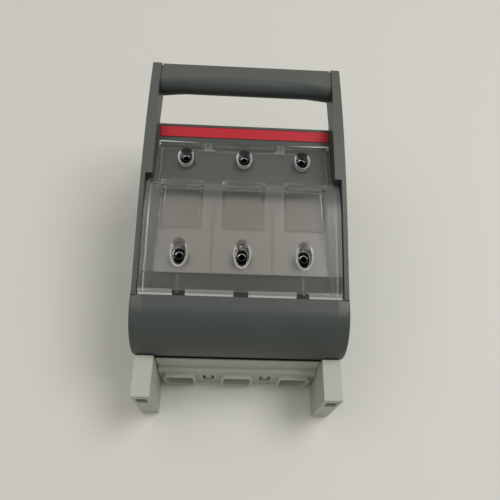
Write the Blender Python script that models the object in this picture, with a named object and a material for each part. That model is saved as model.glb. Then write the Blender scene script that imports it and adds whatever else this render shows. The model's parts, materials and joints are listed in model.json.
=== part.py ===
# Three pole fuse switch disconnector, lying on its back with the front face up.
# Metres, +Z up. X runs across the poles, Y along the device from the terminal end to the grip.
# Y sizes are measured from the near ends of the feet. Each mesh is centred along Y when it is made.

import math

import bmesh
import bpy
from mathutils import Vector

for item in list(bpy.data.objects):
    bpy.data.objects.remove(item, do_unlink=True)

MM = 0.001

# Overall sizes
LENGTH = 177.4 * MM
WIDTH = 106.0 * MM
RAIL_X = WIDTH / 2
GAP = 0.3 * MM
POLES = (-1, 0, 1)
SIDES = (-1, 1)

# Widths, from the outside of the rails inwards
CHEEK_X = RAIL_X + 2 * GAP
CHEEK_IN_X = RAIL_X - 6.5 * MM
SKIN_IN_X = RAIL_X - 2.3 * MM
RAIL_IN_X = RAIL_X - 5.8 * MM
ARM_IN_X = RAIL_X - 4.8 * MM
GRIP_X = ARM_IN_X - 0.9 * MM
BASE_X = RAIL_X - 1.2 * MM
WALL_IN_X = RAIL_X - 10.4 * MM
POLE_PITCH = (2 * WALL_IN_X + 9.0 * MM) / 3

# Hinge and drum
DRUM_R = 22.4 * MM
DRUM_WALL = 2.6 * MM
DRUM_END_DEG = 199.0
HINGE_Y = DRUM_R + 21.0 * MM
HINGE_Z = DRUM_R + 21.4 * MM
DRUM_TOP = HINGE_Z + DRUM_R
SWEEP_R = DRUM_R + 2 * GAP
SWEEP_END_DEG = 288.0
PIN_R = 3.0 * MM
BORE_R = PIN_R + GAP
HUB_R = DRUM_R - 11.0 * MM

# Base housing
BASE_TOP = HINGE_Z - 0.8 * MM
FAR_TOP = BASE_TOP - 9.0 * MM
BASE_END = LENGTH - 1.9 * MM
WALL_T = 3.3 * MM
SKIN = 2.2 * MM
FLOOR_T = 4.0 * MM
PARTITION_X = POLE_PITCH / 2
PARTITION_T = 2.0 * MM
PARTITION_TOP = BASE_TOP + 5.0 * MM
PAD_TOP = 7.7 * MM
PAD_W = 18.0 * MM
POCKET_RIB = 4.0 * MM
EDGE_R = 0.8 * MM

# Terminal covers
FACE_Y = HINGE_Y - SWEEP_R - 2.6 * MM
LEDGE_Y = FACE_Y + 2.4 * MM
LEDGE_Z = 25.0 * MM
COVER_TOP_Z = HINGE_Z - 5.8 * MM
COVER_T = 1.6 * MM
FAR_FACE_Y = LENGTH - 17.4 * MM
FAR_COVER_START = FAR_FACE_Y - 16.8 * MM
COLLAR = 2.6 * MM
COLLAR_OUT = 2.3 * MM
OUTLET_W = POLE_PITCH - 17.7 * MM
OUTLET_Z = (4.0 * MM, 17.4 * MM)
CLIP_W = 6.2 * MM
CLIP_Z = (6.8 * MM, 15.6 * MM)

# Contacts
BAR_W = POLE_PITCH - 14.4 * MM
BAR_T = 2.5 * MM
BAR_Z = PAD_TOP + GAP
JAW_L = 14.5 * MM
JAW_TOP = 34.0 * MM
JAW_GAP = 3.1 * MM
JAW_T = 2.0 * MM
WEB_T = 0.4 * MM
LOWER_JAW_Y = HINGE_Y + 17.8 * MM
UPPER_JAW_Y = LOWER_JAW_Y + 64.2 * MM
LOWER_BOLT_Y = LOWER_JAW_Y - 29.2 * MM
UPPER_BOLT_Y = UPPER_JAW_Y + 21.6 * MM
BOLT_R = 4.0 * MM
HEX_R = 7.5 * MM
WASHER_R = 8.0 * MM
SHROUD_Z = JAW_TOP + 1.5 * MM
SHROUD_T = 2.0 * MM
SHROUD_L = JAW_L + 3.9 * MM
SCREW_HOLE_R = 2.8 * MM
DRIVER_R = 4.6 * MM
LOWER_SCREW_Y = LOWER_JAW_Y - 15.2 * MM
UPPER_SCREW_Y = UPPER_JAW_Y + 12.8 * MM

# Handle frame
STEP_Y = HINGE_Y + 61.4 * MM
SKIRT_Z = BASE_TOP + GAP
ARM_Z = DRUM_TOP + 5.8 * MM
ARM_Y = LENGTH - 31.4 * MM
BEAM_Y = (ARM_Y - 14.6 * MM, ARM_Y - 4.0 * MM)
GRIP_Y = (LENGTH - 17.2 * MM, LENGTH)
GRIP_Z = (DRUM_TOP + 9.4 * MM, DRUM_TOP + 21.9 * MM)
GRIP_ARCH = 2.8 * MM
NEAR_DECK_Y = (HINGE_Y - 2.8 * MM, HINGE_Y + 16.4 * MM)
NEAR_DECK_Z = (DRUM_TOP - 8.8 * MM, DRUM_TOP - 6.4 * MM)
FAR_DECK_Z = (DRUM_TOP - 0.2 * MM, DRUM_TOP + 1.8 * MM)

# Clear cover
LID_X = SKIN_IN_X - 2 * GAP
LID_TOP_X = RAIL_IN_X - 2 * GAP
LID_NEAR_Y = HINGE_Y + 0.7 * MM
LID_FAR_Y = BEAM_Y[0] - 0.8 * MM
LID_TOP_Z = DRUM_TOP + 10.0 * MM
LID_BOW = 1.3 * MM
LID_T = 2.0 * MM
LID_DEPTH = 6.0 * MM
BEVEL_L = 2.7 * MM
BEVEL_DROP = 1.8 * MM
RIB_T = 0.9 * MM
RIB_DEPTH = 2.5 * MM
WINDOW_W = POLE_PITCH - 9.6 * MM
WINDOW_Y = (STEP_Y - 28.4 * MM, STEP_Y - 2.6 * MM)
UPPER_HOLE_Y = LID_FAR_Y - 10.3 * MM
LOWER_HOLE_Y = LID_NEAR_Y + 20.6 * MM
UPPER_HOLE = (4.3 * MM, 5.6 * MM)
LOWER_HOLE = (4.5 * MM, 7.4 * MM)
TONGUE_X = POLE_PITCH - 12.8 * MM
TONGUE_W = 2.2 * MM
TONGUE_L = 5.4 * MM
SLIT_W = 0.6 * MM

# Fuse carriers and probe tubes
CARRIER_W = POLE_PITCH - 9.8 * MM
CARRIER_Y = (NEAR_DECK_Y[1] - 2.0 * MM, LID_FAR_Y - 3.2 * MM)
CARRIER_Z = (NEAR_DECK_Z[1] + GAP, NEAR_DECK_Z[1] + GAP + 2.0 * MM)
CARRIER_WALL = 1.6 * MM
SEAT_Y = (LOWER_JAW_Y + 10.8 * MM, UPPER_JAW_Y - 11.4 * MM)
SEAT_Z = JAW_TOP - 4.0 * MM
WELL_R = 3.6 * MM
WELL_WALL = 1.2 * MM
TUBE_R = 2.25 * MM
TUBE_BORE_R = 1.95 * MM
UPPER_TUBE_Y = UPPER_HOLE_Y + 1.3 * MM
LOWER_TUBE_Y = LOWER_HOLE_Y + 0.5 * MM
UPPER_TUBE_TOP = LID_TOP_Z - 3.8 * MM
LOWER_TUBE_TOP = CARRIER_Z[1] + 4.5 * MM


def rail_z(y):
    """Height of the rails' top edge: a straight slope off the drum, then a curve that levels out."""
    start_y, start_z = tangent_point()
    slope = math.tan(math.radians(14.0))
    bend_y = HINGE_Y + 34.6 * MM
    if y <= bend_y:
        return start_z + slope * (y - start_y)
    t = y - bend_y
    span = LENGTH - bend_y
    return start_z + slope * (bend_y - start_y) + slope * t - (slope - 0.01) * t * t / (2 * span)


def tangent_point():
    """The point where the slope of the rails leaves the round of the drum."""
    angle = math.radians(104.0)
    return HINGE_Y + DRUM_R * math.cos(angle), HINGE_Z + DRUM_R * math.sin(angle)


def lid_z(y):
    """Height of the clear cover's face: a slope off the drum, a crest, then flat a little lower."""
    slope = 0.24
    slope_end, crest, flat = STEP_Y - 20.8 * MM, STEP_Y - 6.8 * MM, STEP_Y + 7.2 * MM
    if y >= flat:
        return LID_TOP_Z
    crest_z = LID_TOP_Z + 1.34 * MM
    if y >= crest:
        t = (y - crest) / (flat - crest)
        return crest_z + (LID_TOP_Z - crest_z) * (1 - math.cos(math.pi * t)) / 2
    if y >= slope_end:
        t = crest - y
        return crest_z - slope * t * t / (2 * (crest - slope_end))
    return crest_z - slope * (crest - slope_end) / 2 - slope * (slope_end - y)


def make_material(name, colour, roughness, metallic=0.0, transmission=0.0):
    material = bpy.data.materials.new(name)
    material.use_nodes = True
    shader = material.node_tree.nodes["Principled BSDF"]
    shader.inputs["Base Color"].default_value = (*colour, 1.0)
    shader.inputs["Roughness"].default_value = roughness
    shader.inputs["Metallic"].default_value = metallic
    shader.inputs["Transmission Weight"].default_value = transmission
    material.diffuse_color = (*colour, 1.0)
    return material


LIGHT_GREY = make_material("light_grey_plastic", (0.50, 0.51, 0.45), 0.55)
DARK_GREY = make_material("dark_grey_plastic", (0.115, 0.120, 0.112), 0.50)
CARRIER_GREY = make_material("carrier_plastic", (0.22, 0.22, 0.20), 0.55)
CLEAR = make_material("clear_plastic", (0.85, 0.85, 0.82), 0.15, transmission=0.9)
RED = make_material("red_strip", (0.45, 0.025, 0.045), 0.40)
COPPER = make_material("tinned_copper", (0.70, 0.66, 0.60), 0.35, metallic=1.0)
STEEL = make_material("zinc_steel", (0.62, 0.63, 0.65), 0.35, metallic=1.0)


def arc(cy, cz, radius, start_deg, end_deg, steps):
    """Points of a circular arc in a plane, both ends included."""
    points = []
    for i in range(steps + 1):
        angle = math.radians(start_deg + (end_deg - start_deg) * i / steps)
        points.append((cy + radius * math.cos(angle), cz + radius * math.sin(angle)))
    return points


def rectangle(a0, a1, b0, b1):
    return [(a0, b0), (a1, b0), (a1, b1), (a0, b1)]


def rounded(points, radius, steps=2):
    """Round every corner of an outline with an arc that keeps inside its two edges."""
    result = []
    count = len(points)
    for i, corner in enumerate(points):
        here = Vector(corner)
        back = Vector(points[i - 1]) - here
        ahead = Vector(points[(i + 1) % count]) - here
        half = back.angle(ahead) / 2
        reach = min(radius / math.tan(half), back.length * 0.49, ahead.length * 0.49)
        start = here + back.normalized() * reach
        end = here + ahead.normalized() * reach
        for k in range(steps + 1):
            t = k / steps
            point = start * (1 - t) ** 2 + here * (2 * t * (1 - t)) + end * t ** 2
            result.append((point.x, point.y))
    return result


def ellipse(cx, cy, half_x, half_y, steps=18):
    points = []
    for i in range(steps):
        angle = 2 * math.pi * i / steps
        points.append((cx + half_x * math.cos(angle), cy + half_y * math.sin(angle)))
    return points


def shape_object(rings, name="shape"):
    """A closed solid through rings of points: each ring has the same number, with a cap at each end."""
    work = bmesh.new()
    rows = [[work.verts.new(point) for point in ring] for ring in rings]
    count = len(rows[0])
    for low, high in zip(rows, rows[1:]):
        for i in range(count):
            j = (i + 1) % count
            work.faces.new((low[i], low[j], high[j], high[i]))
    work.faces.new(rows[0])
    work.faces.new(rows[-1])
    bmesh.ops.recalc_face_normals(work, faces=work.faces)
    mesh = bpy.data.meshes.new(name)
    work.to_mesh(mesh)
    work.free()
    shape = bpy.data.objects.new(name, mesh)
    bpy.context.scene.collection.objects.link(shape)
    return shape


def lift(outline, axis, level):
    """Put a flat outline at one level along an axis: X takes (y, z), Y takes (x, z), Z takes (x, y)."""
    if axis == "X":
        return [(level, a, b) for a, b in outline]
    if axis == "Y":
        return [(a, level, b) for a, b in outline]
    return [(a, b, level) for a, b in outline]


def prism(outline, axis, low, high):
    return shape_object([lift(outline, axis, low), lift(outline, axis, high)])


def side_prism(outline, side, low, high):
    """A prism along X on one side of the device, between two distances from its middle."""
    return prism(outline, "X", side * low, side * high)


def block(x0, x1, y0, y1, z0, z1):
    return prism(rectangle(x0, x1, y0, y1), "Z", z0, z1)


def rod(axis, a, b, radius, low, high, steps=16):
    return prism(ellipse(a, b, radius, radius, steps), axis, low, high)


def combine(base, shapes, operation):
    """Apply Boolean operations one after another and leave one plain mesh."""
    for shape in shapes:
        step = base.modifiers.new("step", "BOOLEAN")
        step.solver = "EXACT"
        step.operation = operation
        step.object = shape
    graph = bpy.context.evaluated_depsgraph_get()
    result = bpy.data.meshes.new_from_object(base.evaluated_get(graph))
    base.modifiers.clear()
    base.data = result
    for shape in shapes:
        bpy.data.objects.remove(shape, do_unlink=True)
    return base


def union(base, *shapes):
    return combine(base, shapes, "UNION")


def cut(base, *shapes):
    return combine(base, shapes, "DIFFERENCE")


def overlap(base, *shapes):
    return combine(base, shapes, "INTERSECT")


def shift_mesh(mesh, offset):
    for vertex in mesh.vertices:
        vertex.co += offset


def finish(shape, name, material, pivot=None):
    """Name a finished solid, give it its material, and hang it on its pivot or on the base's frame."""
    work = bmesh.new()
    work.from_mesh(shape.data)
    bmesh.ops.remove_doubles(work, verts=work.verts, dist=0.000002)
    bmesh.ops.dissolve_degenerate(work, dist=0.000002, edges=work.edges)
    bmesh.ops.dissolve_limit(work, angle_limit=math.radians(0.3), verts=work.verts, edges=work.edges)
    work.to_mesh(shape.data)
    work.free()
    shape.name = name
    shape.data.name = name
    shape.data.materials.clear()
    shape.data.materials.append(material)
    shape.data.shade_smooth()
    shape.data.set_sharp_from_angle(angle=math.radians(35.0))
    middle = Vector((0.0, -LENGTH / 2, 0.0))
    if pivot is None:
        shift_mesh(shape.data, middle)
    else:
        shift_mesh(shape.data, middle - pivot.location)
        shape.parent = pivot
    return shape


def add_pivot(name, y, z):
    pivot = bpy.data.objects.new(name, None)
    pivot.location = (0.0, y - LENGTH / 2, z)
    bpy.context.scene.collection.objects.link(pivot)
    return pivot


def swept_sector(radius):
    """Side view of the room that the drum shell needs as the handle unit turns."""
    outline = arc(HINGE_Y, HINGE_Z, radius, 60.0, SWEEP_END_DEG, 30)
    outline.append((HINGE_Y, HINGE_Z))
    return outline


def screw_places():
    return [(side * PARTITION_X, y) for side in SIDES for y in (LOWER_SCREW_Y, UPPER_SCREW_Y)]


def bolt_places():
    return [(pole * POLE_PITCH, y) for y in (LOWER_BOLT_Y, UPPER_BOLT_Y) for pole in POLES]


def make_base():
    slope_y, tail_y = ARM_Y, ARM_Y + 10.0 * MM
    side_view = [(0.0, 0.0), (BASE_END, 0.0), (BASE_END, FAR_TOP), (tail_y, FAR_TOP),
                 (slope_y, BASE_TOP), (0.0, BASE_TOP)]
    floor_y = (FACE_Y + COVER_T + 2 * GAP, FAR_FACE_Y - COVER_T - 2 * GAP)
    base = block(-BASE_X + EDGE_R, BASE_X - EDGE_R, *floor_y, 0.0, FLOOR_T)

    walls = [side_prism(rounded(side_view, EDGE_R), side, WALL_IN_X, BASE_X) for side in SIDES]
    jaw_low = SHROUD_Z - GAP
    half = SHROUD_L / 2 + GAP
    partition = [(floor_y[0], FLOOR_T / 2), (floor_y[0], LEDGE_Z - 4 * MM),
                 (LOWER_JAW_Y - 9.0 * MM, LEDGE_Z - 4 * MM), (LOWER_JAW_Y - 9.0 * MM, jaw_low),
                 (LOWER_JAW_Y + half, jaw_low), (LOWER_JAW_Y + half, PARTITION_TOP),
                 (UPPER_JAW_Y - half, PARTITION_TOP), (UPPER_JAW_Y - half, jaw_low),
                 (UPPER_JAW_Y + half, jaw_low), (UPPER_JAW_Y + half, FAR_TOP - COVER_T - 4 * GAP),
                 (floor_y[1] - GAP, FAR_TOP - COVER_T - 4 * GAP), (floor_y[1] - GAP, FLOOR_T / 2)]
    ribs = [prism(partition, "X", side * PARTITION_X - PARTITION_T / 2, side * PARTITION_X + PARTITION_T / 2)
            for side in SIDES]
    pads = []
    for pole in POLES:
        x = pole * POLE_PITCH
        for y0, y1 in ((LOWER_BOLT_Y - 9.0 * MM, LOWER_JAW_Y + 7.8 * MM),
                       (UPPER_JAW_Y - 7.4 * MM, UPPER_BOLT_Y + 10.0 * MM)):
            pads.append(block(x - PAD_W / 2, x + PAD_W / 2, y0, y1, FLOOR_T / 2, PAD_TOP))
    bosses = [rod("Z", x, y, DRIVER_R + 1.4 * MM, FLOOR_T / 2, 12.0 * MM) for x, y in screw_places()]
    union(base, *walls, *ribs, *pads, *bosses)

    cuts = []
    for side in SIDES:
        cuts.append(side_prism(swept_sector(SWEEP_R + 2.0 * MM), side, -1.0 * MM, WALL_IN_X + 0.1 * MM))
        cuts.append(side_prism(swept_sector(SWEEP_R), side, WALL_IN_X - GAP, CHEEK_IN_X))
        cuts.append(side_prism(arc(HINGE_Y, HINGE_Z, SWEEP_R, 0.0, 352.5, 40), side, CHEEK_IN_X - GAP,
                               CHEEK_X + GAP))
        inner, outer = WALL_IN_X + WALL_T, BASE_X - SKIN
        under = -1.0 * MM
        cuts.append(side_prism(rectangle(SKIN, FACE_Y, under, BASE_TOP - 16.2 * MM), side, inner, outer))
        drum_end = HINGE_Y + SWEEP_R
        below_drum = rectangle(FACE_Y + POCKET_RIB, drum_end, under, HINGE_Z - SWEEP_R - 5.0 * MM)
        cuts.append(side_prism(below_drum, side, inner, outer))
        beside_jaws = rectangle(drum_end + POCKET_RIB, slope_y - 3.0 * MM, under, BASE_TOP - SKIN)
        cuts.append(side_prism(beside_jaws, side, inner, outer))
        cuts.append(side_prism(rectangle(slope_y + MM, BASE_END - SKIN, under, FAR_TOP - 13.0 * MM), side,
                               inner, outer))
        slot_x = (WALL_IN_X + 2.0 * MM, BASE_X - 1.6 * MM)
        slot = rectangle(*slot_x, BASE_TOP - 14.0 * MM, BASE_TOP - 5.0 * MM)
        slot = rounded([(side * x, z) for x, z in slot], 0.7 * MM)
        cuts.append(prism(slot, "Y", under, 12.0 * MM))
        far_slot = rectangle(*slot_x, FAR_TOP - 11.0 * MM, FAR_TOP - 3.0 * MM)
        far_slot = rounded([(side * x, z) for x, z in far_slot], 0.7 * MM)
        cuts.append(prism(far_slot, "Y", BASE_END - 10.0 * MM, BASE_END + 1.0 * MM))
    for x, y in screw_places():
        cuts.append(rod("Z", x, y, SCREW_HOLE_R, -1.0 * MM, 13.0 * MM))
        cuts.append(rod("Z", x, y, DRIVER_R, 9.0 * MM, PARTITION_TOP + MM))
    for x, y in bolt_places():
        cuts.append(prism(ellipse(x, y, HEX_R + GAP, HEX_R + GAP, 6), "Z", 1.2 * MM, PAD_TOP + 1.0 * MM))
    cut(base, *cuts)

    arms = []
    for side in SIDES:
        web_y, web_z = HINGE_Y + SWEEP_R, HINGE_Z - 0.8 * DRUM_R
        web = [(HINGE_Y - 0.6 * HUB_R, HINGE_Z - 0.7 * HUB_R), (HINGE_Y + 0.44 * DRUM_R, web_z),
               (web_y, web_z), (web_y, BASE_TOP - 0.5 * MM), (HINGE_Y + 0.7 * HUB_R, HINGE_Z + 0.66 * HUB_R)]
        arms.append(side_prism(web, side, WALL_IN_X + 0.5 * MM, CHEEK_IN_X - 2 * GAP))
        arms.append(side_prism(arc(HINGE_Y, HINGE_Z, HUB_R, 0.0, 350.0, 24), side,
                               WALL_IN_X + 0.5 * MM, CHEEK_IN_X - 2 * GAP))
        prong_x = side * PARTITION_X
        hook = [(FACE_Y + 0.4 * MM, CLIP_Z[0] + 1.8 * MM), (floor_y[0] + 1.0 * MM, CLIP_Z[0] + 1.8 * MM),
                (floor_y[0] + 1.0 * MM, CLIP_Z[1] - 2.4 * MM), (FACE_Y + 1.2 * MM, CLIP_Z[1] - 2.4 * MM)]
        arms.append(prism(hook, "X", prong_x - 1.5 * MM, prong_x + 1.5 * MM))
    union(base, *arms)
    bore_x = (WALL_IN_X - MM, CHEEK_X)
    cut(base, *[rod("X", HINGE_Y, HINGE_Z, BORE_R, side * bore_x[0], side * bore_x[1]) for side in SIDES])
    return finish(base, "base_housing", LIGHT_GREY)


def outlet_ring(x, margin, radius, y):
    """Rounded outline round a cable outlet, a margin larger than the outlet, at one place along Y."""
    half = OUTLET_W / 2 + margin
    corners = rectangle(x - half, x + half, OUTLET_Z[0] - margin, OUTLET_Z[1] + margin)
    return lift(rounded(corners, radius, 3), "Y", y)


def outlet_collar(x, y_face, y_front, inward):
    """A flared collar: wide where it meets the face, narrow at its front, on either end of the device."""
    slim = COLLAR - 1.5 * MM
    return shape_object([outlet_ring(x, COLLAR, 4.0 * MM, y_face + inward * MM),
                         outlet_ring(x, COLLAR, 4.0 * MM, y_face),
                         outlet_ring(x, slim, 3.2 * MM, y_front)])


def outlet_hole(x, y_face, y_front, inward):
    """Cutter for the outlet in a collar: straight inside, and flared towards the collar's front."""
    flare = COLLAR - 1.9 * MM
    return shape_object([outlet_ring(x, 0.0, 1.8 * MM, y_face + inward * 5.0 * MM),
                         outlet_ring(x, 0.0, 1.8 * MM, y_front + inward * 1.8 * MM),
                         outlet_ring(x, flare, 2.6 * MM, y_front),
                         outlet_ring(x, flare, 2.6 * MM, y_front - inward * MM)])


def make_lower_terminal_cover():
    half = WALL_IN_X - GAP
    low = 0.4 * MM
    outer_arc = arc(HINGE_Y, HINGE_Z, SWEEP_R + GAP, 195.0, 262.0, 14)
    inner_arc = arc(HINGE_Y, HINGE_Z, SWEEP_R + GAP + COVER_T, 262.0, 207.0, 13)
    outline = [(FACE_Y, low), (FACE_Y, LEDGE_Z), (LEDGE_Y, LEDGE_Z), (LEDGE_Y, COVER_TOP_Z)]
    outline += outer_arc + inner_arc
    outline += [(FACE_Y + COVER_T, LEDGE_Z - COVER_T), (FACE_Y + COVER_T, low)]
    cover = prism(outline, "X", -half, half)
    poles = [pole * POLE_PITCH for pole in POLES]
    front = FACE_Y - COLLAR_OUT
    union(cover, *[outlet_collar(x, FACE_Y, front, 1) for x in poles])
    cuts = [outlet_hole(x, FACE_Y, front, 1) for x in poles]
    for side in SIDES:
        x = side * PARTITION_X
        window = rectangle(x - CLIP_W / 2, x + CLIP_W / 2, *CLIP_Z)
        cuts.append(prism(rounded(window, 0.8 * MM), "Y", FACE_Y - 1 * MM, FACE_Y + 4 * MM))
    cut(cover, *cuts)
    return finish(cover, "lower_terminal_cover", LIGHT_GREY)


def make_upper_terminal_cover():
    half = WALL_IN_X - GAP
    low = 0.4 * MM
    outline = [(FAR_COVER_START, FAR_TOP), (FAR_FACE_Y - 1.5 * MM, FAR_TOP), (FAR_FACE_Y, FAR_TOP - 1.5 * MM),
               (FAR_FACE_Y, low), (FAR_FACE_Y - COVER_T, low), (FAR_FACE_Y - COVER_T, FAR_TOP - 2.2 * MM),
               (FAR_FACE_Y - 2.2 * MM, FAR_TOP - COVER_T), (FAR_COVER_START, FAR_TOP - COVER_T)]
    cover = prism(outline, "X", -half, half)
    poles = [pole * POLE_PITCH for pole in POLES]
    front = FAR_FACE_Y + COLLAR_OUT
    union(cover, *[outlet_collar(x, FAR_FACE_Y, front, -1) for x in poles])
    cut(cover, *[outlet_hole(x, FAR_FACE_Y, front, -1) for x in poles])
    return finish(cover, "upper_terminal_cover", LIGHT_GREY)


def make_shroud(name, middle_y):
    half_x = WALL_IN_X - GAP
    half_y = SHROUD_L / 2
    plate = prism(rounded(rectangle(-half_x, half_x, middle_y - half_y, middle_y + half_y), 1.0 * MM), "Z",
                  SHROUD_Z, SHROUD_Z + SHROUD_T)
    rims = []
    slots = []
    for pole in POLES:
        x = pole * POLE_PITCH
        rims.append(prism(rounded(rectangle(x - 6.0 * MM, x + 6.0 * MM, middle_y - 8.6 * MM,
                                            middle_y + 8.6 * MM), 1.5 * MM), "Z", SHROUD_Z + MM,
                          SHROUD_Z + SHROUD_T + 1.2 * MM))
        slots.append(prism(rounded(rectangle(x - 4.4 * MM, x + 4.4 * MM, middle_y - 7.4 * MM,
                                             middle_y + 7.4 * MM), 1.0 * MM), "Z", SHROUD_Z - MM,
                           SHROUD_Z + SHROUD_T + 3 * MM))
    union(plate, *rims)
    cut(plate, *slots)
    return finish(plate, name, LIGHT_GREY)


def make_contact(name, pole, jaw_y, bolt_y):
    """Terminal bar with a raised web at one end, and the two sprung legs of the jaw standing on it."""
    x = pole * POLE_PITCH
    away = 1 if bolt_y > jaw_y else -1
    bar_top = BAR_Z + BAR_T
    jaw_end = jaw_y - away * (JAW_L / 2 + GAP)
    tail_end = bolt_y + away * (WASHER_R + 1.3 * MM)
    web_end = jaw_y + away * (JAW_L / 2 + 2 * GAP)
    outline = rounded(rectangle(x - BAR_W / 2, x + BAR_W / 2, *sorted((jaw_end, tail_end))), 1.5 * MM)
    bar = prism(outline, "Z", BAR_Z, bar_top + WEB_T)
    cut(bar, block(x - BAR_W, x + BAR_W, *sorted((web_end, tail_end + away * MM)), bar_top, bar_top + MM))
    legs = []
    for side in SIDES:
        leg = [(JAW_GAP, BAR_Z + MM), (JAW_GAP + JAW_T, BAR_Z + MM), (JAW_GAP + JAW_T, JAW_TOP - 5.0 * MM),
               (JAW_GAP + 2.9 * MM, JAW_TOP - 0.6 * MM), (JAW_GAP + 1.2 * MM, JAW_TOP),
               (JAW_GAP, JAW_TOP - 4.6 * MM)]
        legs.append(prism([(x + side * a, b) for a, b in leg], "Y", jaw_y - JAW_L / 2, jaw_y + JAW_L / 2))
    union(bar, *legs)
    cut(bar, rod("Z", x, bolt_y, BOLT_R + GAP, BAR_Z - MM, bar_top + MM))
    return finish(bar, name, COPPER)


def make_jaw_spring(name, pole, jaw_y):
    x = pole * POLE_PITCH
    inner_x = JAW_GAP + JAW_T + GAP
    inner_y = JAW_L / 2 + GAP
    wire = 1.0 * MM
    outer = rectangle(x - inner_x - wire, x + inner_x + wire, jaw_y - inner_y - wire, jaw_y + inner_y + wire)
    inner = rectangle(x - inner_x, x + inner_x, jaw_y - inner_y, jaw_y + inner_y)
    ring = prism(rounded(outer, 1.4 * MM), "Z", 21.0 * MM, 25.0 * MM)
    cut(ring, prism(rounded(inner, 0.3 * MM, 1), "Z", 20.0 * MM, 26.0 * MM))
    return finish(ring, name, STEEL)


def make_bolt_mesh():
    """Hexagon bolt with its captive washer, standing on the terminal bar's top at the origin."""
    washer_z = (GAP, GAP + 1.6 * MM)
    bolt = rod("Z", 0.0, 0.0, WASHER_R, *washer_z)
    head = prism(ellipse(0.0, 0.0, HEX_R, HEX_R, 6), "Z", washer_z[1] - 0.4 * MM, washer_z[1] + 5.3 * MM)
    shank = rod("Z", 0.0, 0.0, BOLT_R, -8.6 * MM, washer_z[0] + 0.4 * MM)
    union(bolt, head, shank)
    return bolt


def make_nut_mesh():
    """Hexagon nut hanging just below the terminal bar, with its bore clear of the bolt."""
    nut = prism(ellipse(0.0, 0.0, HEX_R, HEX_R, 6), "Z", -6.1 * MM, -GAP)
    cut(nut, rod("Z", 0.0, 0.0, BOLT_R + GAP, -9.0 * MM, MM))
    return nut


def place_fasteners():
    bolt = make_bolt_mesh()
    nut = make_nut_mesh()
    kinds = ((bolt, "terminal_bolt", BAR_Z + BAR_T), (nut, "terminal_nut", BAR_Z))
    for shape, kind, z in kinds:
        shape.data.materials.append(STEEL)
        shape.data.name = kind
        shape.data.shade_smooth()
        shape.data.set_sharp_from_angle(angle=math.radians(35.0))
        for row, y in (("lower", LOWER_BOLT_Y), ("upper", UPPER_BOLT_Y)):
            for number, pole in enumerate(POLES, 1):
                copy = bpy.data.objects.new(f"{kind}_{row}_{number}", shape.data)
                copy.location = (pole * POLE_PITCH, y - LENGTH / 2, z)
                bpy.context.scene.collection.objects.link(copy)
        bpy.data.objects.remove(shape, do_unlink=True)


def make_hinge_pin(name, side):
    pin = rod("X", HINGE_Y, HINGE_Z, PIN_R, side * (WALL_IN_X + 0.2 * MM), side * (CHEEK_X - 1.3 * MM))
    return finish(pin, name, STEEL)


def grip_ring(x, shrink):
    """Section of the grip: a rounded D whose near side is cut back in an arch towards the middle."""
    near, far = GRIP_Y
    low, high = GRIP_Z
    arch = GRIP_ARCH * (1 - (x / GRIP_X) ** 2)
    near += arch + shrink
    far -= shrink
    low += shrink + arch * 0.35
    high -= shrink
    half_z = (high - low) / 2
    reach = 5.4 * MM
    nose = arc(0.0, 0.0, 1.0, 90.0, 270.0, 12)
    points = [(near + reach + a * reach, low + half_z + b * half_z) for a, b in nose]
    points += [(far - 1.2 * MM, low), (far, low + 1.2 * MM), (far, high - 1.6 * MM), (far - 1.6 * MM, high)]
    return [(x, y, z) for y, z in points]


def make_grip():
    stations = 14
    xs = [-GRIP_X + 2 * GRIP_X * i / stations for i in range(stations + 1)]
    body = shape_object([grip_ring(x, 0.0) for x in xs])
    neck = shape_object([grip_ring(x, 0.6 * MM) for x in (-ARM_IN_X - MM, -GRIP_X * 0.9, GRIP_X * 0.9,
                                                          ARM_IN_X + MM)])
    return body, neck


def frame_side_view(y_start, y_end, floor_z):
    """Outline of a rail between two places, with its top on the rails' curve."""
    steps = max(2, round((y_end - y_start) / (7.0 * MM)))
    ys = [y_start + (y_end - y_start) * i / steps for i in range(steps + 1)]
    top = [(y, rail_z(y)) for y in ys]
    return top + [(y_end, floor_z), (y_start, floor_z)]


def make_rail(side):
    far = LENGTH
    root_y = BEAM_Y[1] + GAP
    steps = 12
    ys = [STEP_Y + (far - 2.0 * MM - STEP_Y) * i / steps for i in range(steps + 1)]
    outline = [(y, rail_z(y)) for y in ys]
    top = rail_z(far)
    outline += [(far - 0.6 * MM, top - 0.6 * MM), (far, top - 2.0 * MM), (far, ARM_Z + 2.0 * MM),
                (far - 2.0 * MM, ARM_Z), (root_y + 6.0 * MM, ARM_Z), (root_y + 1.8 * MM, ARM_Z - 1.8 * MM),
                (root_y, ARM_Z - 6.0 * MM), (root_y, SKIRT_Z + 3.0 * MM), (root_y - 3.0 * MM, SKIRT_Z),
                (STEP_Y, SKIRT_Z)]
    upper = side_prism(outline, side, RAIL_IN_X, RAIL_X)
    lower = side_prism(frame_side_view(HINGE_Y, STEP_Y + 2.0 * MM, SKIRT_Z), side, SKIN_IN_X, RAIL_X)
    return upper, lower


def make_ledge(side):
    """The rest inside each rail that carries the rim of the clear cover."""
    ys = (LID_NEAR_Y, STEP_Y - 30 * MM, STEP_Y - 15 * MM, STEP_Y + MM)
    top = [(y, lid_z(y) - LID_DEPTH - GAP) for y in ys]
    under = [(y, z - 4.0 * MM) for y, z in reversed(top)]
    return side_prism(top + under, side, RAIL_IN_X - 2.4 * MM, SKIN_IN_X + 0.4 * MM)


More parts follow.
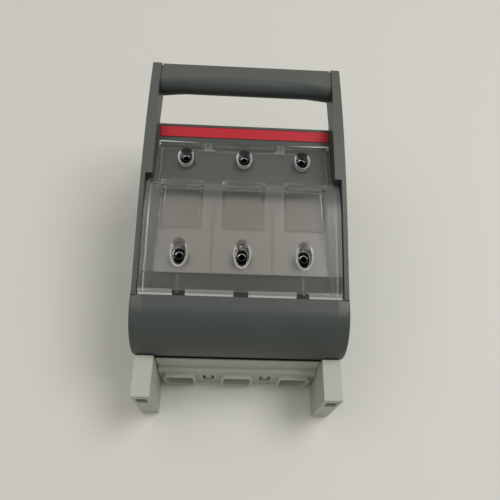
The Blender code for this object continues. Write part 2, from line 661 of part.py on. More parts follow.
def make_handle_frame(pivot):
    near_lip = LID_NEAR_Y - 0.5 * MM
    lip_z = rail_z(near_lip)
    shell = [(near_lip, NEAR_DECK_Z[1] - MM), (near_lip, lip_z - 0.4 * MM), (near_lip - 0.4 * MM, lip_z)]
    shell += arc(HINGE_Y, HINGE_Z, DRUM_R, 104.0, DRUM_END_DEG, 30)
    shell += arc(HINGE_Y, HINGE_Z, DRUM_R - DRUM_WALL, DRUM_END_DEG, 97.0, 20)
    shell += [(NEAR_DECK_Y[0], NEAR_DECK_Z[1] - MM)]
    frame = prism(shell, "X", -CHEEK_IN_X - MM, CHEEK_IN_X + MM)

    near_deck = block(-SKIN_IN_X - 0.4 * MM, SKIN_IN_X + 0.4 * MM, NEAR_DECK_Y[0] - 1.2 * MM,
                      NEAR_DECK_Y[1], *NEAR_DECK_Z)
    far_deck = block(-RAIL_IN_X - MM, RAIL_IN_X + MM, STEP_Y - 0.8 * MM, BEAM_Y[0] + 2 * MM, *FAR_DECK_Z)
    low, high, along, _ = label_frame()
    foot = low - along * 0.9 * MM
    head = high + along * 0.9 * MM
    beam = [(BEAM_Y[0], FAR_DECK_Z[0]), (BEAM_Y[0], foot.z - 0.8 * MM), (foot.y, foot.z), (head.y, head.z),
            (BEAM_Y[1] - 0.8 * MM, head.z + 0.2 * MM), (BEAM_Y[1], head.z - 0.6 * MM), (BEAM_Y[1], SKIRT_Z),
            (BEAM_Y[1] - SKIN, SKIRT_Z), (BEAM_Y[1] - SKIN, FAR_DECK_Z[0])]
    parts = [near_deck, far_deck, prism(beam, "X", -RAIL_IN_X - MM, RAIL_IN_X + MM)]
    for side in SIDES:
        parts += make_rail(side)
        parts.append(make_ledge(side))
        lid_room = block(side * (CHEEK_IN_X - MM), side * SKIN_IN_X, near_lip, HINGE_Y + DRUM_R + MM,
                         NEAR_DECK_Z[0] + MM, HINGE_Z + DRUM_R + MM)
        parts.append(cut(rounded_disc(side), lid_room))
    union(frame, *parts)
    cuts = []
    for side in SIDES:
        arm_room = rectangle(BEAM_Y[1] + 0.2 * MM, LENGTH + MM, SKIRT_Z - MM, GRIP_Z[1] + 5 * MM)
        cuts.append(side_prism(arm_room, side, RAIL_IN_X - MM, ARM_IN_X))
        cuts.append(rod("X", HINGE_Y, HINGE_Z, BORE_R, side * WALL_IN_X, side * (CHEEK_X - 0.8 * MM)))
        notch = arc(HINGE_Y, HINGE_Z, DRUM_R + MM, 188.0, 204.0, 4)
        notch += arc(HINGE_Y, HINGE_Z, DRUM_R - DRUM_WALL - MM, 204.0, 188.0, 4)
        cuts.append(side_prism(notch, side, WALL_IN_X + 0.6 * MM, CHEEK_IN_X - 0.2 * MM))
    for pole in POLES:
        cuts.append(rod("Z", pole * POLE_PITCH, UPPER_TUBE_Y, WELL_R + WELL_WALL + GAP, CARRIER_Z[1],
                        FAR_DECK_Z[1] + MM))
    cut(frame, *cuts)
    union(frame, *make_grip())
    cut(frame, label_recess())
    return finish(frame, "handle_frame", DARK_GREY, pivot)


def rounded_disc(side):
    """The drum's end cheek, with its outer edge rounded."""
    rings = []
    for inset, x in ((0.0, CHEEK_IN_X), (0.0, CHEEK_X - 1.4 * MM), (0.4 * MM, CHEEK_X - 0.4 * MM),
                     (1.4 * MM, CHEEK_X)):
        ring = ellipse(HINGE_Y, HINGE_Z, DRUM_R - inset, DRUM_R - inset, 42)
        rings.append(lift(ring, "X", side * x))
    return shape_object(rings)


def label_frame():
    """Middle, length and width directions of the sloping label face on the beam."""
    low = Vector((0.0, BEAM_Y[0] + 3.1 * MM, LID_TOP_Z - 1.3 * MM))
    high = low + Vector((0.0, 5.3 * MM, 2.0 * MM))
    along = (high - low).normalized()
    normal = Vector((0.0, -along.z, along.y))
    return low, high, along, normal


def label_block(half_x, margin, bottom, top):
    low, high, along, normal = label_frame()
    start = low - along * margin
    end = high + along * margin
    outline = []
    for point, level in ((start, bottom), (end, bottom), (end, top), (start, top)):
        moved = point + normal * level
        outline.append((moved.y, moved.z))
    return prism(outline, "X", -half_x, half_x)


def label_recess():
    return label_block(LID_TOP_X, GAP, -0.6 * MM, 4.0 * MM)


def make_label_strip(pivot):
    strip = label_block(LID_TOP_X - GAP, 0.0, -0.3 * MM, 0.25 * MM)
    return finish(strip, "label_strip", RED, pivot)


def lid_outline(inset):
    """Plan of the clear cover: wide part, rounded shoulders, narrow part and a bowed far edge."""
    wide = LID_X - inset
    slim = LID_TOP_X - inset
    near = LID_NEAR_Y + inset
    far = LID_FAR_Y - inset
    shoulder = STEP_Y - GAP - inset
    right = [(wide, near), (wide, shoulder - 2.4 * MM), (wide - 0.7 * MM, shoulder - 0.7 * MM),
             (wide - 2.4 * MM, shoulder), (slim, shoulder), (slim, far - MM), (slim - MM, far)]
    bow = []
    steps = 8
    for i in range(1, steps):
        x = (slim - MM) * (1 - 2 * i / steps)
        bow.append((x, far - LID_BOW * (1 - (x / slim) ** 2)))
    left = [(-x, y) for x, y in reversed(right)]
    return right + bow + left


def lid_band(top_drop, bottom_drop, extend):
    """Side view of a layer of the cover, given by how far it lies below the face."""
    ys = [LID_NEAR_Y - extend, LID_NEAR_Y + BEVEL_L, STEP_Y - 38 * MM, STEP_Y - 20.8 * MM, STEP_Y - 16 * MM,
          STEP_Y - 11.5 * MM, STEP_Y - 6.8 * MM, STEP_Y - 3 * MM, STEP_Y + 2 * MM, STEP_Y + 7.2 * MM,
          LID_FAR_Y + MM + extend]
    top = [(y, lid_z(y) - top_drop) for y in ys]
    under = [(y, lid_z(y) - bottom_drop) for y in reversed(ys)]
    if top_drop == 0.0:
        top[0] = (ys[0], lid_z(ys[1]) - BEVEL_DROP)
    return prism(top + under, "X", -WIDTH, WIDTH)


def window_profile(drop, low):
    """Side view of a raised window, a little longer than its plan: sloping pane, groove and finger lip."""
    near, far = WINDOW_Y
    pane_end = far - 5.4 * MM
    pane_z = LID_TOP_Z + 2.2 * MM
    lip_z = LID_TOP_Z + 4.3 * MM
    near_z = lid_z(near) + 0.4 * MM
    slope = (pane_z - near_z) / (pane_end - near)
    points = [(near - MM, low), (near - MM, near_z - slope * MM), (pane_end, pane_z)]
    if drop == 0.0:
        points += [(pane_end + 0.5 * MM, pane_z - 0.8 * MM), (pane_end + 1.6 * MM, pane_z - 0.7 * MM)]
    points += [(far - 2.8 * MM, lip_z), (far - 1.2 * MM, lip_z + 0.5 * MM), (far, lip_z - 0.3 * MM),
               (far + MM, lip_z - MM), (far + MM, low)]
    return [(y, z if z == low else z - drop) for y, z in points]


def window_body(x, drop, low, margin):
    half = WINDOW_W / 2 - margin
    pane = prism(window_profile(drop, low), "X", x - half - MM, x + half + MM)
    plan = rounded(rectangle(x - half, x + half, WINDOW_Y[0] + margin, WINDOW_Y[1] - margin), 1.6 * MM, 3)
    return overlap(pane, prism(plan, "Z", low - MM, DRUM_TOP + 30 * MM))


def funnel(x, y, half, depth):
    """Cutter for a flared measuring hole: an oval that narrows to a straight throat."""
    top = lid_z(y)
    slope = (lid_z(y + MM) - lid_z(y - MM)) / (2 * MM)
    rings = []
    for grow, level in ((1.22, 1.0 * MM), (0.80, -0.9 * MM), (0.66, -2.4 * MM), (0.62, -depth - 2 * MM)):
        outline = ellipse(x, y, half[0] * grow, half[1] * grow)
        rings.append([(px, py, top + slope * (py - y) + level) for px, py in outline])
    return shape_object(rings)


def hole_places():
    places = []
    for pole in POLES:
        places.append((pole * POLE_PITCH, UPPER_HOLE_Y, UPPER_HOLE, 3.4 * MM))
        places.append((pole * POLE_PITCH, LOWER_HOLE_Y, LOWER_HOLE, 4.2 * MM))
    return places


def make_clear_cover(pivot):
    levels = (DRUM_TOP - 20 * MM, DRUM_TOP + 30 * MM)
    lid = overlap(lid_band(0.0, LID_DEPTH, 0.0), prism(lid_outline(0.0), "Z", *levels))
    room = overlap(lid_band(LID_T, LID_DEPTH + 4 * MM, 5 * MM), prism(lid_outline(LID_T * 0.9), "Z", *levels))
    cut(lid, room)
    poles = [pole * POLE_PITCH for pole in POLES]
    dot_y = STEP_Y - 2.9 * MM
    rib_end = LOWER_HOLE_Y - LOWER_HOLE[1] + MM
    dots = [rod("Z", side * (LID_TOP_X - 1.3 * MM), dot_y, 1.7 * MM, lid_z(dot_y) - MM,
                lid_z(dot_y) + 0.7 * MM) for side in SIDES]
    rib = [(LID_NEAR_Y + MM, lid_z(LID_NEAR_Y + MM) - MM), (rib_end, lid_z(rib_end) - MM),
           (rib_end, lid_z(rib_end) - LID_T - RIB_DEPTH),
           (LID_NEAR_Y + MM, lid_z(LID_NEAR_Y + MM) - LID_T - RIB_DEPTH)]
    ribs = [prism(rib, "X", side * POLE_PITCH - RIB_T / 2, side * POLE_PITCH + RIB_T / 2) for side in SIDES]
    union(lid, *[window_body(x, 0.0, LID_TOP_Z - 2.8 * MM, 0.0) for x in poles], *dots, *ribs)
    cut(lid, *[window_body(x, 1.8 * MM, LID_TOP_Z - 8.2 * MM, 1.8 * MM) for x in poles])
    throats = []
    for x, y, half, depth in hole_places():
        top = lid_z(y) - MM
        throats.append(prism(ellipse(x, y, half[0] * 0.95, half[1] * 0.95), "Z", top - depth + MM, top))
    union(lid, *throats)
    cuts = [funnel(x, y, half, depth) for x, y, half, depth in hole_places()]
    for side in SIDES:
        x = side * TONGUE_X
        for edge in SIDES:
            slit_x = x + edge * (TONGUE_W + SLIT_W) / 2
            cuts.append(block(slit_x - SLIT_W / 2, slit_x + SLIT_W / 2, LID_FAR_Y - TONGUE_L,
                              LID_FAR_Y + 2 * MM, *levels))
    for middle, half in ((-POLE_PITCH + MM, 3.15 * MM), (0.0, 3.65 * MM), (POLE_PITCH - MM, 3.15 * MM)):
        cuts.append(block(middle - half, middle + half, LID_NEAR_Y - MM, LID_NEAR_Y + BEVEL_L, *levels))
    cut(lid, *cuts)
    bar_y = (LID_FAR_Y - TONGUE_L - 1.2 * MM, LID_FAR_Y - TONGUE_L - 0.4 * MM)
    bars = [block(side * TONGUE_X - 2.8 * MM, side * TONGUE_X + 2.8 * MM, *bar_y, LID_TOP_Z - 0.8 * MM,
                  LID_TOP_Z + 0.5 * MM) for side in SIDES]
    union(lid, *bars)
    return finish(lid, "clear_cover", CLEAR, pivot)


def make_carrier(name, pole, pivot):
    """Cover plate that meets its neighbours, with an open box for the fuse-link below it and two wells."""
    x = pole * POLE_PITCH
    half = CARRIER_W / 2
    left = max(x - POLE_PITCH / 2 + GAP / 2, -RAIL_IN_X + 2.4 * MM + GAP)
    right = min(x + POLE_PITCH / 2 - GAP / 2, RAIL_IN_X - 2.4 * MM - GAP)
    carrier = block(left, right, *CARRIER_Y, *CARRIER_Z)
    seat = block(x - half, x + half, *SEAT_Y, SEAT_Z, CARRIER_Z[0] + MM)
    tubes = ((UPPER_TUBE_Y, UPPER_TUBE_TOP), (LOWER_TUBE_Y, LOWER_TUBE_TOP))
    bosses = [rod("Z", x, y, WELL_R + WELL_WALL, CARRIER_Z[0], top - MM) for y, top in tubes]
    union(carrier, seat, *bosses)
    room = block(x - half + CARRIER_WALL, x + half - CARRIER_WALL, SEAT_Y[0] + CARRIER_WALL,
                 SEAT_Y[1] - CARRIER_WALL, SEAT_Z - MM, CARRIER_Z[0] - 1.4 * MM)
    gate_top = (SEAT_Z + CARRIER_Z[0]) / 2 + 5.0 * MM
    gate = block(x - 4.0 * MM, x + 4.0 * MM, SEAT_Y[0] - MM, SEAT_Y[1] + MM, SEAT_Z - MM, gate_top)
    wells = [rod("Z", x, y, WELL_R, CARRIER_Z[0] + 0.8 * MM, top) for y, top in tubes]
    bores = [rod("Z", x, y, TUBE_R + GAP, CARRIER_Z[0] - MM, CARRIER_Z[1]) for y, _ in tubes]
    cut(carrier, room, gate, *wells, *bores)
    return finish(carrier, name, CARRIER_GREY, pivot)


def make_probe_tube(name, pole, y, top, pivot):
    x = pole * POLE_PITCH
    tube = rod("Z", x, y, TUBE_R, CARRIER_Z[0] - 3.0 * MM, top, 12)
    cut(tube, rod("Z", x, y, TUBE_BORE_R, CARRIER_Z[0] - 4 * MM, top + MM, 12))
    return finish(tube, name, STEEL, pivot)


def build():
    make_base()
    make_lower_terminal_cover()
    make_upper_terminal_cover()
    make_shroud("contact_shroud_lower", LOWER_JAW_Y)
    make_shroud("contact_shroud_upper", UPPER_JAW_Y)
    for row, jaw_y, bolt_y in (("lower", LOWER_JAW_Y, LOWER_BOLT_Y), ("upper", UPPER_JAW_Y, UPPER_BOLT_Y)):
        for number, pole in enumerate(POLES, 1):
            make_contact(f"contact_{row}_{number}", pole, jaw_y, bolt_y)
            make_jaw_spring(f"jaw_spring_{row}_{number}", pole, jaw_y)
    place_fasteners()
    make_hinge_pin("hinge_pin_left", -1)
    make_hinge_pin("hinge_pin_right", 1)

    pivot = add_pivot("handle_pivot", HINGE_Y, HINGE_Z)
    make_handle_frame(pivot)
    make_label_strip(pivot)
    make_clear_cover(pivot)
    for number, pole in enumerate(POLES, 1):
        make_carrier(f"fuse_carrier_{number}", pole, pivot)
        make_probe_tube(f"probe_tube_lower_{number}", pole, LOWER_TUBE_Y, LOWER_TUBE_TOP, pivot)
        make_probe_tube(f"probe_tube_upper_{number}", pole, UPPER_TUBE_Y, UPPER_TUBE_TOP, pivot)


build()
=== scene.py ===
# Fuse switch disconnector: finishes, soft edges, fine pieces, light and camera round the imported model.
import bpy
import bmesh
import json
import math
import numpy as np
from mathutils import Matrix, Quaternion, Vector

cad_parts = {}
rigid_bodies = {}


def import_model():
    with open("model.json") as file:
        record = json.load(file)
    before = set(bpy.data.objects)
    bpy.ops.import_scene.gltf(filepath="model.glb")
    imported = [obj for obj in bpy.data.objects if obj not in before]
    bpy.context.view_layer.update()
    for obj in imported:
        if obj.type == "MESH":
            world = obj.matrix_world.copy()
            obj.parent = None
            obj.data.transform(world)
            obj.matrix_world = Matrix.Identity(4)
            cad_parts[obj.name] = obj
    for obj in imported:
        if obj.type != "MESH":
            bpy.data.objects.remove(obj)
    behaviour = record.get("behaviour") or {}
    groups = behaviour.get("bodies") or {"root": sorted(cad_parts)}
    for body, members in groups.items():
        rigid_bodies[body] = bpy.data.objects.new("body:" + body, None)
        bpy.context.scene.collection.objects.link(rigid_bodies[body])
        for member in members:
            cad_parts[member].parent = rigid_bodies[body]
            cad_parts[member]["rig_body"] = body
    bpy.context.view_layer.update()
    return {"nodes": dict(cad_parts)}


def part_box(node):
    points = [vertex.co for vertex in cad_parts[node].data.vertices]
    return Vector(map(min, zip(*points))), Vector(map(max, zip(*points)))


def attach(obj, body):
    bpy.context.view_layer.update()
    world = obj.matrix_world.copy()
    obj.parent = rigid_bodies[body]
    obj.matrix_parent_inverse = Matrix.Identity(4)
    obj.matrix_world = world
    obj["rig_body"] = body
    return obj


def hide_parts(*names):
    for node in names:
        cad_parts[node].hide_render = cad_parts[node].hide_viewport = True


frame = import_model()
print("scene: frame loaded")

mm = 0.001
baseBody = "base"
handleBody = "handle_unit"
poles = (1, 2, 3)
rows = ("lower", "upper")

# The middles of the probe tubes in plan, the lower row first.
tubeBoxes = [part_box(f"probe_tube_{row}_{number}") for row in rows for number in poles]
tubePlaces = [((low.x + high.x) / 2, (low.y + high.y) / 2) for low, high in tubeBoxes]

# Where the finish changes on the clear cover. Panes are the windows' clear fields, the band is the dark strip
# before the carriers, and the two lines mark the borders of the near and far edges, which carry painted
# highlights.
coverPlan = {"paneHalf": 10.9 * mm, "paneStart": 32.2 * mm, "paneEnd": 58.2 * mm, "bandGap": 3.0 * mm,
             "farBorder": 1.0 * mm, "nearBorder": 0.9 * mm}
coverLow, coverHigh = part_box("clear_cover")
paneNear = coverLow.y + coverPlan["paneStart"]
paneFar = coverLow.y + coverPlan["paneEnd"]
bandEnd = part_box("fuse_carrier_2")[0].y - coverPlan["bandGap"]
farLine = coverHigh.y - coverPlan["farBorder"]
nearLine = coverLow.y + coverPlan["nearBorder"]

# Places along Y where a piece's faces are split, so that a finish can change there.
extraEdges = {"clear_cover": (bandEnd, farLine, nearLine)}


def addObject(name, mesh):
    obj = bpy.data.objects.new(name, mesh)
    bpy.context.scene.collection.objects.link(obj)
    return obj


def setMaterial(obj, material):
    obj.data.materials.clear()
    obj.data.materials.append(material)


# Shader helpers: a group with its named sockets, a node with its settings, a noise node that reads a vector,
# and an arithmetic node whose two inputs are numbers or links.
def newGroup(name, inputs, outputs):
    group = bpy.data.node_groups.new(name, "ShaderNodeTree")
    for label, kind, value in inputs:
        socket = group.interface.new_socket(name=label, in_out="INPUT", socket_type=kind)
        if value is not None:
            socket.default_value = value
    for label, kind in outputs:
        group.interface.new_socket(name=label, in_out="OUTPUT", socket_type=kind)
    enter = group.nodes.new("NodeGroupInput")
    leave = group.nodes.new("NodeGroupOutput")
    return group, enter, leave


def addNode(tree, kind, **settings):
    node = tree.nodes.new(kind)
    for key, value in settings.items():
        setattr(node, key, value)
    return node


def noiseNode(tree, vector, scale, detail=3.0, roughness=0.55):
    noise = addNode(tree, "ShaderNodeTexNoise")
    noise.inputs["Scale"].default_value = scale
    noise.inputs["Detail"].default_value = detail
    noise.inputs["Roughness"].default_value = roughness
    tree.links.new(vector, noise.inputs["Vector"])
    return noise


def mathNode(tree, operation, first, second):
    node = addNode(tree, "ShaderNodeMath", operation=operation)
    for slot, value in enumerate((first, second)):
        if isinstance(value, (int, float)):
            node.inputs[slot].default_value = value
        else:
            tree.links.new(value, node.inputs[slot])
    return node.outputs[0]


# Moulded plastic: slow cloudy shade changes, spark-eroded grain for the height, a few dust specks.
def makeMouldedGroup():
    values = {"cloudScale": 28.0, "cloudDetail": 4.0, "cloudGain": 4.0, "speckScale": 900.0,
              "speckDetail": 2.0, "speckFrom": 0.70, "speckTo": 0.78, "dustAndSheenColour": (0.62, 0.60, 0.55),
              "grainDetail": 2.0, "roughSwing": 0.25}
    group, enter, leave = newGroup(
        "mouldedSkin",
        [("Vector", "NodeSocketVector", None), ("Colour", "NodeSocketColor", (0.4, 0.4, 0.35, 1)),
         ("Cloud", "NodeSocketFloat", 0.06), ("Grain Size", "NodeSocketFloat", 2600.0),
         ("Roughness", "NodeSocketFloat", 0.5), ("Dust", "NodeSocketFloat", 0.05)],
        [("Colour", "NodeSocketColor"), ("Roughness", "NodeSocketFloat"), ("Height", "NodeSocketFloat")])
    links = group.links
    vector = enter.outputs["Vector"]
    cloud = noiseNode(group, vector, values["cloudScale"], values["cloudDetail"])
    swing = mathNode(group, "MULTIPLY", mathNode(group, "SUBTRACT", cloud.outputs["Fac"], 0.5),
                     enter.outputs["Cloud"])
    bright = addNode(group, "ShaderNodeHueSaturation")
    links.new(enter.outputs["Colour"], bright.inputs["Color"])
    lift = mathNode(group, "MULTIPLY", swing, values["cloudGain"])
    links.new(mathNode(group, "ADD", lift, 1.0), bright.inputs["Value"])
    speck = noiseNode(group, vector, values["speckScale"], values["speckDetail"])
    mask = addNode(group, "ShaderNodeMapRange")
    mask.inputs["From Min"].default_value = values["speckFrom"]
    mask.inputs["From Max"].default_value = values["speckTo"]
    links.new(speck.outputs["Fac"], mask.inputs["Value"])
    dust = mathNode(group, "MULTIPLY", mask.outputs["Result"], enter.outputs["Dust"])
    mix = addNode(group, "ShaderNodeMix", data_type="RGBA")
    mix.inputs["B"].default_value = (*values["dustAndSheenColour"], 1)
    links.new(dust, mix.inputs["Factor"])
    links.new(bright.outputs["Color"], mix.inputs["A"])
    links.new(mix.outputs["Result"], leave.inputs["Colour"])
    grain = addNode(group, "ShaderNodeTexNoise")
    links.new(vector, grain.inputs["Vector"])
    links.new(enter.outputs["Grain Size"], grain.inputs["Scale"])
    grain.inputs["Detail"].default_value = values["grainDetail"]
    links.new(grain.outputs["Fac"], leave.inputs["Height"])
    uneven = mathNode(group, "MULTIPLY", mathNode(group, "SUBTRACT", grain.outputs["Fac"], 0.5),
                      values["roughSwing"])
    links.new(mathNode(group, "ADD", enter.outputs["Roughness"], uneven), leave.inputs["Roughness"])
    return group


mouldedSkin = makeMouldedGroup()


# A moulded finish. Faces that look up are painted paler, by an amount that the look gives: a painted sheen of
# the light from above.
def mouldedPlastic(name, look):
    values = {"sheenFrom": 0.94, "sheenTo": 1.0, "dustAndSheenColour": (0.36, 0.35, 0.31)}
    material = bpy.data.materials.new(name)
    material.use_nodes = True
    tree = material.node_tree
    shader = tree.nodes["Principled BSDF"]
    place = addNode(tree, "ShaderNodeTexCoord")
    skin = addNode(tree, "ShaderNodeGroup", node_tree=mouldedSkin)
    skin.inputs["Colour"].default_value = (*look["colour"], 1)
    skin.inputs["Cloud"].default_value = look["cloud"]
    skin.inputs["Grain Size"].default_value = look["grainSize"]
    skin.inputs["Roughness"].default_value = look["roughness"]
    skin.inputs["Dust"].default_value = look["dust"]
    tree.links.new(place.outputs["Object"], skin.inputs["Vector"])
    bump = addNode(tree, "ShaderNodeBump")
    bump.inputs["Strength"].default_value = look["bump"]
    bump.inputs["Distance"].default_value = look["bumpDepth"]
    tree.links.new(skin.outputs["Height"], bump.inputs["Height"])
    facing = addNode(tree, "ShaderNodeSeparateXYZ")
    tree.links.new(place.outputs["Normal"], facing.inputs[0])
    upward = addNode(tree, "ShaderNodeMapRange", interpolation_type="SMOOTHSTEP")
    upward.inputs["From Min"].default_value = values["sheenFrom"]
    upward.inputs["From Max"].default_value = values["sheenTo"]
    upward.inputs["To Max"].default_value = look["topSheen"]
    tree.links.new(facing.outputs["Z"], upward.inputs["Value"])
    sheened = addNode(tree, "ShaderNodeMix", data_type="RGBA")
    sheened.inputs["B"].default_value = (*values["dustAndSheenColour"], 1)
    tree.links.new(upward.outputs["Result"], sheened.inputs["Factor"])
    tree.links.new(skin.outputs["Colour"], sheened.inputs["A"])
    tree.links.new(sheened.outputs["Result"], shader.inputs["Base Color"])
    tree.links.new(skin.outputs["Roughness"], shader.inputs["Roughness"])
    tree.links.new(bump.outputs["Normal"], shader.inputs["Normal"])
    shader.inputs["Specular IOR Level"].default_value = look["gloss"]
    return material


lightLook = {"colour": (0.42, 0.43, 0.36), "cloud": 0.04, "grainSize": 2600.0, "roughness": 0.50,
             "dust": 0.08, "bump": 0.30, "bumpDepth": 0.00006, "gloss": 0.45, "topSheen": 0.0}
darkLook = {"colour": (0.053, 0.062, 0.054), "cloud": 0.06, "grainSize": 2300.0, "roughness": 0.44,
            "dust": 0.04, "bump": 0.40, "bumpDepth": 0.00007, "gloss": 0.42, "topSheen": 0.11}
carrierLook = {"colour": (0.205, 0.198, 0.180), "cloud": 0.05, "grainSize": 2300.0, "roughness": 0.55,
               "dust": 0.03, "bump": 0.30, "bumpDepth": 0.00006, "gloss": 0.4, "topSheen": 0.0}
# A darker copy of the dark plastic: painted shade for the deck in the dark under the cover.
deckShadeLook = {"colour": (0.026, 0.030, 0.027), "cloud": 0.06, "grainSize": 2300.0, "roughness": 0.55,
              "dust": 0.03, "bump": 0.10, "bumpDepth": 0.00007, "gloss": 0.2, "topSheen": 0.0}
# Near black plastic: painted shade for the wells round the probe tubes.
wellShadeLook = {"colour": (0.012, 0.012, 0.012), "cloud": 0.02, "grainSize": 2300.0, "roughness": 0.7,
            "dust": 0.0, "bump": 0.10, "bumpDepth": 0.00004, "gloss": 0.1, "topSheen": 0.0}
lightPlastic = mouldedPlastic("lightPlastic", lightLook)
darkPlastic = mouldedPlastic("darkPlastic", darkLook)
# The dark plastic again, without its painted top sheen.
cleanPlastic = mouldedPlastic("cleanPlastic", {**darkLook, "topSheen": 0.0})
paintedShadeDeck = mouldedPlastic("paintedShadeDeck", deckShadeLook)
carrierPlastic = mouldedPlastic("carrierPlastic", carrierLook)
paintedShadeWell = mouldedPlastic("paintedShadeWell", wellShadeLook)


# Metal: small dull patches, and a roughness that changes finely over the surface.
def metalFinish(name, look):
    values = {"patchDetail": 4.0, "fineDetail": 2.0, "roughSwing": 0.2}
    material = bpy.data.materials.new(name)
    material.use_nodes = True
    tree = material.node_tree
    shader = tree.nodes["Principled BSDF"]
    shader.inputs["Metallic"].default_value = 1.0
    place = addNode(tree, "ShaderNodeTexCoord")
    patches = noiseNode(tree, place.outputs["Object"], look["patchScale"], values["patchDetail"])
    shades = addNode(tree, "ShaderNodeMix", data_type="RGBA")
    shades.inputs["A"].default_value = (*look["colour"], 1)
    shades.inputs["B"].default_value = (*look["dull"], 1)
    tree.links.new(patches.outputs["Fac"], shades.inputs["Factor"])
    tree.links.new(shades.outputs["Result"], shader.inputs["Base Color"])
    fine = noiseNode(tree, place.outputs["Object"], look["fineScale"], values["fineDetail"])
    uneven = mathNode(tree, "MULTIPLY", fine.outputs["Fac"], values["roughSwing"])
    rough = mathNode(tree, "ADD", uneven, look["roughness"])
    tree.links.new(rough, shader.inputs["Roughness"])
    return material


zincLook = {"colour": (0.70, 0.71, 0.72), "dull": (0.48, 0.49, 0.50), "patchScale": 240.0,
            "fineScale": 3000.0, "roughness": 0.18}
tinLook = {"colour": (0.72, 0.69, 0.64), "dull": (0.52, 0.48, 0.42), "patchScale": 160.0,
           "fineScale": 2500.0, "roughness": 0.28}
# A dark steel: painted shade for the probe tubes in their dark wells and the near half of their lips.
shadeLook = {"colour": (0.060, 0.060, 0.062), "dull": (0.035, 0.035, 0.036), "patchScale": 240.0,
             "fineScale": 3000.0, "roughness": 0.45}
zincSteel = metalFinish("zincSteel", zincLook)
shadedSteel = metalFinish("shadedSteel", shadeLook)
tinnedCopper = metalFinish("tinnedCopper", tinLook)


# Red strip: smooth film whose red changes slowly between two shades.
def redFilm():
    look = {"colour": (0.51, 0.018, 0.030), "shade": (0.445, 0.014, 0.026), "scale": 70.0, "shadeShare": 0.5,
            "roughness": 0.45, "gloss": 0.25}
    material = bpy.data.materials.new("redFilm")
    material.use_nodes = True
    tree = material.node_tree
    shader = tree.nodes["Principled BSDF"]
    place = addNode(tree, "ShaderNodeTexCoord")
    cloud = noiseNode(tree, place.outputs["Object"], look["scale"])
    mix = addNode(tree, "ShaderNodeMix", data_type="RGBA")
    mix.inputs["A"].default_value = (*look["colour"], 1)
    mix.inputs["B"].default_value = (*look["shade"], 1)
    share = mathNode(tree, "MULTIPLY", cloud.outputs["Fac"], look["shadeShare"])
    tree.links.new(share, mix.inputs["Factor"])
    tree.links.new(mix.outputs["Result"], shader.inputs["Base Color"])
    shader.inputs["Roughness"].default_value = look["roughness"]
    shader.inputs["Specular IOR Level"].default_value = look["gloss"]
    return material


# Clear plastic: smoky, and lets light through, with a share of milky haze. Rays that carry shadow or soft
# light pass straight through, so what lies below is lit once.
def clearPlastic(name, look):
    values = {"refraction": 1.45, "roughSwing": 0.06}
    material = bpy.data.materials.new(name)
    material.use_nodes = True
    tree = material.node_tree
    shader = tree.nodes["Principled BSDF"]
    shader.inputs["Transmission Weight"].default_value = 1.0 - look["haze"]
    shader.inputs["IOR"].default_value = values["refraction"]
    shader.inputs["Specular IOR Level"].default_value = look["gloss"]
    place = addNode(tree, "ShaderNodeTexCoord")
    cloud = noiseNode(tree, place.outputs["Object"], look["cloudScale"])
    tint = addNode(tree, "ShaderNodeMix", data_type="RGBA")
    tint.inputs["A"].default_value = (*look["colour"], 1)
    tint.inputs["B"].default_value = (*look["smoke"], 1)
    tree.links.new(cloud.outputs["Fac"], tint.inputs["Factor"])
    tree.links.new(tint.outputs["Result"], shader.inputs["Base Color"])
    uneven = mathNode(tree, "MULTIPLY", cloud.outputs["Fac"], values["roughSwing"])
    rough = mathNode(tree, "ADD", uneven, look["roughness"])
    tree.links.new(rough, shader.inputs["Roughness"])
    path = addNode(tree, "ShaderNodeLightPath")
    through = addNode(tree, "ShaderNodeBsdfTransparent")
    through.inputs["Color"].default_value = (*look["shadow"], 1)
    choose = addNode(tree, "ShaderNodeMixShader")
    output = tree.nodes["Material Output"]
    straight = mathNode(tree, "MAXIMUM", path.outputs["Is Shadow Ray"], path.outputs["Is Diffuse Ray"])
    tree.links.new(straight, choose.inputs[0])
    tree.links.new(shader.outputs[0], choose.inputs[1])
    tree.links.new(through.outputs[0], choose.inputs[2])
    tree.links.new(choose.outputs[0], output.inputs["Surface"])
    return material


smokeLook = {"colour": (0.86, 0.85, 0.82), "smoke": (0.80, 0.79, 0.76), "haze": 0.02, "roughness": 0.14,
             "cloudScale": 35.0, "shadow": (0.92, 0.91, 0.89), "gloss": 0.5}
# The next three looks are milky white: painted highlights on the cover's rims and edges.
highlightLook = {"colour": (0.92, 0.92, 0.89), "smoke": (0.88, 0.88, 0.85), "haze": 0.62, "roughness": 0.24,
             "cloudScale": 60.0, "shadow": (0.86, 0.86, 0.84), "gloss": 0.5}
edgeLook = {"colour": (0.74, 0.74, 0.71), "smoke": (0.64, 0.64, 0.61), "haze": 0.28, "roughness": 0.22,
            "cloudScale": 60.0, "shadow": (0.86, 0.86, 0.84), "gloss": 0.5}
dimHighlightLook = {"colour": (0.84, 0.84, 0.82), "smoke": (0.76, 0.76, 0.74), "haze": 0.40, "roughness": 0.20,
                "cloudScale": 60.0, "shadow": (0.86, 0.86, 0.84), "gloss": 0.5}
# A dark tint for the holes past their rims: painted shade.
holeShadeLook = {"colour": (0.42, 0.42, 0.40), "smoke": (0.34, 0.34, 0.32), "haze": 0.02, "roughness": 0.12,
            "cloudScale": 60.0, "shadow": (0.80, 0.80, 0.78), "gloss": 0.08}
mattLook = {"colour": (0.86, 0.85, 0.82), "smoke": (0.80, 0.79, 0.76), "haze": 0.065, "roughness": 0.26,
            "cloudScale": 35.0, "shadow": (0.92, 0.91, 0.89), "gloss": 0.5}
